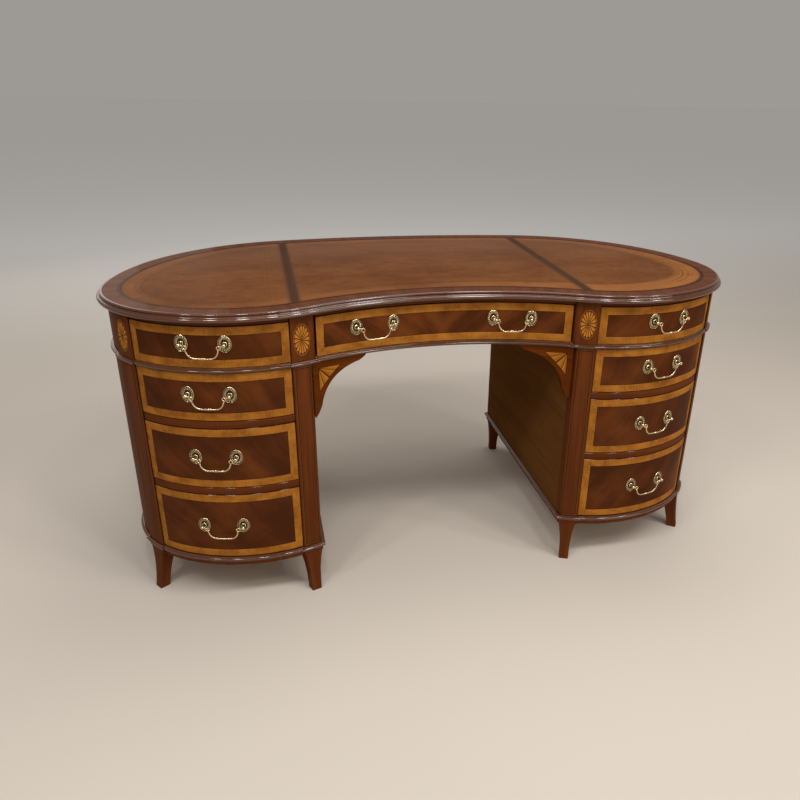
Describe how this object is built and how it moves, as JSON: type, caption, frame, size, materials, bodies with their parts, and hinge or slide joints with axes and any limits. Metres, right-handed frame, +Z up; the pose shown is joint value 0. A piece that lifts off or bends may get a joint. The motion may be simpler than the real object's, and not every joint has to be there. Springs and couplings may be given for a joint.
{
  "type": "kidney shaped desk",
  "caption": "Kidney shaped pedestal desk with a leather inset top, bowed banded drawers, a concave kneehole front, kneehole brackets, bail handles and splayed bracket feet",
  "frame": {"origin": "centre of the desk's box on the floor", "axes": "+X runs along the desk to the sitter's right, +Y from the sitter's side to the back, +Z up"},
  "size_m": [1.63, 0.807, 0.775],
  "materials": {
    "mahogany": "French polished mahogany with satinwood banding and boxwood string lines",
    "crotch_mahogany": "polished flame figured mahogany, cross banded in satinwood",
    "leather": "hand coloured hide with blind tooled border lines",
    "drawer_lining": "bare cedar or oak, lightly waxed",
    "antique_brass": "aged cast brass, dull gold with brown patina"
  },
  "bodies": {
    "desk": {"desk_top": "mahogany", "leather_centre": "leather", "leather_right": "leather", "leather_left": "leather", "frieze_case": "mahogany", "mid_moulding": "mahogany", "pedestal_case_right": "mahogany", "pedestal_case_left": "mahogany", "plinth_right": "mahogany", "plinth_left": "mahogany", "kneehole_bracket_right": "mahogany", "kneehole_bracket_left": "mahogany"},
    "drawer_centre": {"drawer_centre_front": "crotch_mahogany", "drawer_centre_tray": "drawer_lining", "drawer_centre_a_post_left": "antique_brass", "drawer_centre_a_post_right": "antique_brass", "drawer_centre_b_post_left": "antique_brass", "drawer_centre_b_post_right": "antique_brass"},
    "drawer_left_1": {"drawer_left_1_front": "crotch_mahogany", "drawer_left_1_tray": "drawer_lining", "drawer_left_1_post_left": "antique_brass", "drawer_left_1_post_right": "antique_brass"},
    "drawer_left_2": {"drawer_left_2_front": "crotch_mahogany", "drawer_left_2_tray": "drawer_lining", "drawer_left_2_post_left": "antique_brass", "drawer_left_2_post_right": "antique_brass"},
    "drawer_left_3": {"drawer_left_3_front": "crotch_mahogany", "drawer_left_3_tray": "drawer_lining", "drawer_left_3_post_left": "antique_brass", "drawer_left_3_post_right": "antique_brass"},
    "drawer_left_4": {"drawer_left_4_front": "crotch_mahogany", "drawer_left_4_tray": "drawer_lining", "drawer_left_4_post_left": "antique_brass", "drawer_left_4_post_right": "antique_brass"},
    "drawer_right_1": {"drawer_right_1_front": "crotch_mahogany", "drawer_right_1_tray": "drawer_lining", "drawer_right_1_post_left": "antique_brass", "drawer_right_1_post_right": "antique_brass"},
    "drawer_right_2": {"drawer_right_2_front": "crotch_mahogany", "drawer_right_2_tray": "drawer_lining", "drawer_right_2_post_left": "antique_brass", "drawer_right_2_post_right": "antique_brass"},
    "drawer_right_3": {"drawer_right_3_front": "crotch_mahogany", "drawer_right_3_tray": "drawer_lining", "drawer_right_3_post_left": "antique_brass", "drawer_right_3_post_right": "antique_brass"},
    "drawer_right_4": {"drawer_right_4_front": "crotch_mahogany", "drawer_right_4_tray": "drawer_lining", "drawer_right_4_post_left": "antique_brass", "drawer_right_4_post_right": "antique_brass"},
    "centre_a_bail": {"drawer_centre_a_bail": "antique_brass"},
    "centre_b_bail": {"drawer_centre_b_bail": "antique_brass"},
    "left_1_bail": {"drawer_left_1_bail": "antique_brass"},
    "left_2_bail": {"drawer_left_2_bail": "antique_brass"},
    "left_3_bail": {"drawer_left_3_bail": "antique_brass"},
    "left_4_bail": {"drawer_left_4_bail": "antique_brass"},
    "right_1_bail": {"drawer_right_1_bail": "antique_brass"},
    "right_2_bail": {"drawer_right_2_bail": "antique_brass"},
    "right_3_bail": {"drawer_right_3_bail": "antique_brass"},
    "right_4_bail": {"drawer_right_4_bail": "antique_brass"}
  },
  "joints": [
    {"name": "drawer_centre_slide", "type": "slide", "parent": "desk", "child": "drawer_centre", "axis": [0, -1, 0], "range_m": [0, 0.3]},
    {"name": "drawer_left_1_slide", "type": "slide", "parent": "desk", "child": "drawer_left_1", "axis": [0, -1, 0], "range_m": [0, 0.28]},
    {"name": "drawer_left_2_slide", "type": "slide", "parent": "desk", "child": "drawer_left_2", "axis": [0, -1, 0], "range_m": [0, 0.28]},
    {"name": "drawer_left_3_slide", "type": "slide", "parent": "desk", "child": "drawer_left_3", "axis": [0, -1, 0], "range_m": [0, 0.28]},
    {"name": "drawer_left_4_slide", "type": "slide", "parent": "desk", "child": "drawer_left_4", "axis": [0, -1, 0], "range_m": [0, 0.28]},
    {"name": "drawer_right_1_slide", "type": "slide", "parent": "desk", "child": "drawer_right_1", "axis": [0, -1, 0], "range_m": [0, 0.28]},
    {"name": "drawer_right_2_slide", "type": "slide", "parent": "desk", "child": "drawer_right_2", "axis": [0, -1, 0], "range_m": [0, 0.28]},
    {"name": "drawer_right_3_slide", "type": "slide", "parent": "desk", "child": "drawer_right_3", "axis": [0, -1, 0], "range_m": [0, 0.28]},
    {"name": "drawer_right_4_slide", "type": "slide", "parent": "desk", "child": "drawer_right_4", "axis": [0, -1, 0], "range_m": [0, 0.28]},
    {"name": "centre_a_swing", "type": "hinge", "parent": "drawer_centre", "child": "centre_a_bail", "pos_m": [-0.17048, -0.31188, 0.704], "axis": [-0.9767, -0.2146, 0], "range_deg": [0, 85]},
    {"name": "centre_b_swing", "type": "hinge", "parent": "drawer_centre", "child": "centre_b_bail", "pos_m": [0.17048, -0.31188, 0.704], "axis": [-0.9767, 0.2146, 0], "range_deg": [0, 85]},
    {"name": "left_1_swing", "type": "hinge", "parent": "drawer_left_1", "child": "left_1_bail", "pos_m": [-0.57198, -0.38526, 0.704], "axis": [-0.9731, 0.2302, 0], "range_deg": [0, 85]},
    {"name": "left_2_swing", "type": "hinge", "parent": "drawer_left_2", "child": "left_2_bail", "pos_m": [-0.57198, -0.38526, 0.582], "axis": [-0.9731, 0.2302, 0], "range_deg": [0, 85]},
    {"name": "left_3_swing", "type": "hinge", "parent": "drawer_left_3", "child": "left_3_bail", "pos_m": [-0.57198, -0.38526, 0.422], "axis": [-0.9731, 0.2302, 0], "range_deg": [0, 85]},
    {"name": "left_4_swing", "type": "hinge", "parent": "drawer_left_4", "child": "left_4_bail", "pos_m": [-0.57198, -0.38526, 0.2325], "axis": [-0.9731, 0.2302, 0], "range_deg": [0, 85]},
    {"name": "right_1_swing", "type": "hinge", "parent": "drawer_right_1", "child": "right_1_bail", "pos_m": [0.57198, -0.38526, 0.704], "axis": [-0.9731, -0.2302, 0], "range_deg": [0, 85]},
    {"name": "right_2_swing", "type": "hinge", "parent": "drawer_right_2", "child": "right_2_bail", "pos_m": [0.57198, -0.38526, 0.582], "axis": [-0.9731, -0.2302, 0], "range_deg": [0, 85]},
    {"name": "right_3_swing", "type": "hinge", "parent": "drawer_right_3", "child": "right_3_bail", "pos_m": [0.57198, -0.38526, 0.422], "axis": [-0.9731, -0.2302, 0], "range_deg": [0, 85]},
    {"name": "right_4_swing", "type": "hinge", "parent": "drawer_right_4", "child": "right_4_bail", "pos_m": [0.57198, -0.38526, 0.2325], "axis": [-0.9731, -0.2302, 0], "range_deg": [0, 85]}
  ]
}
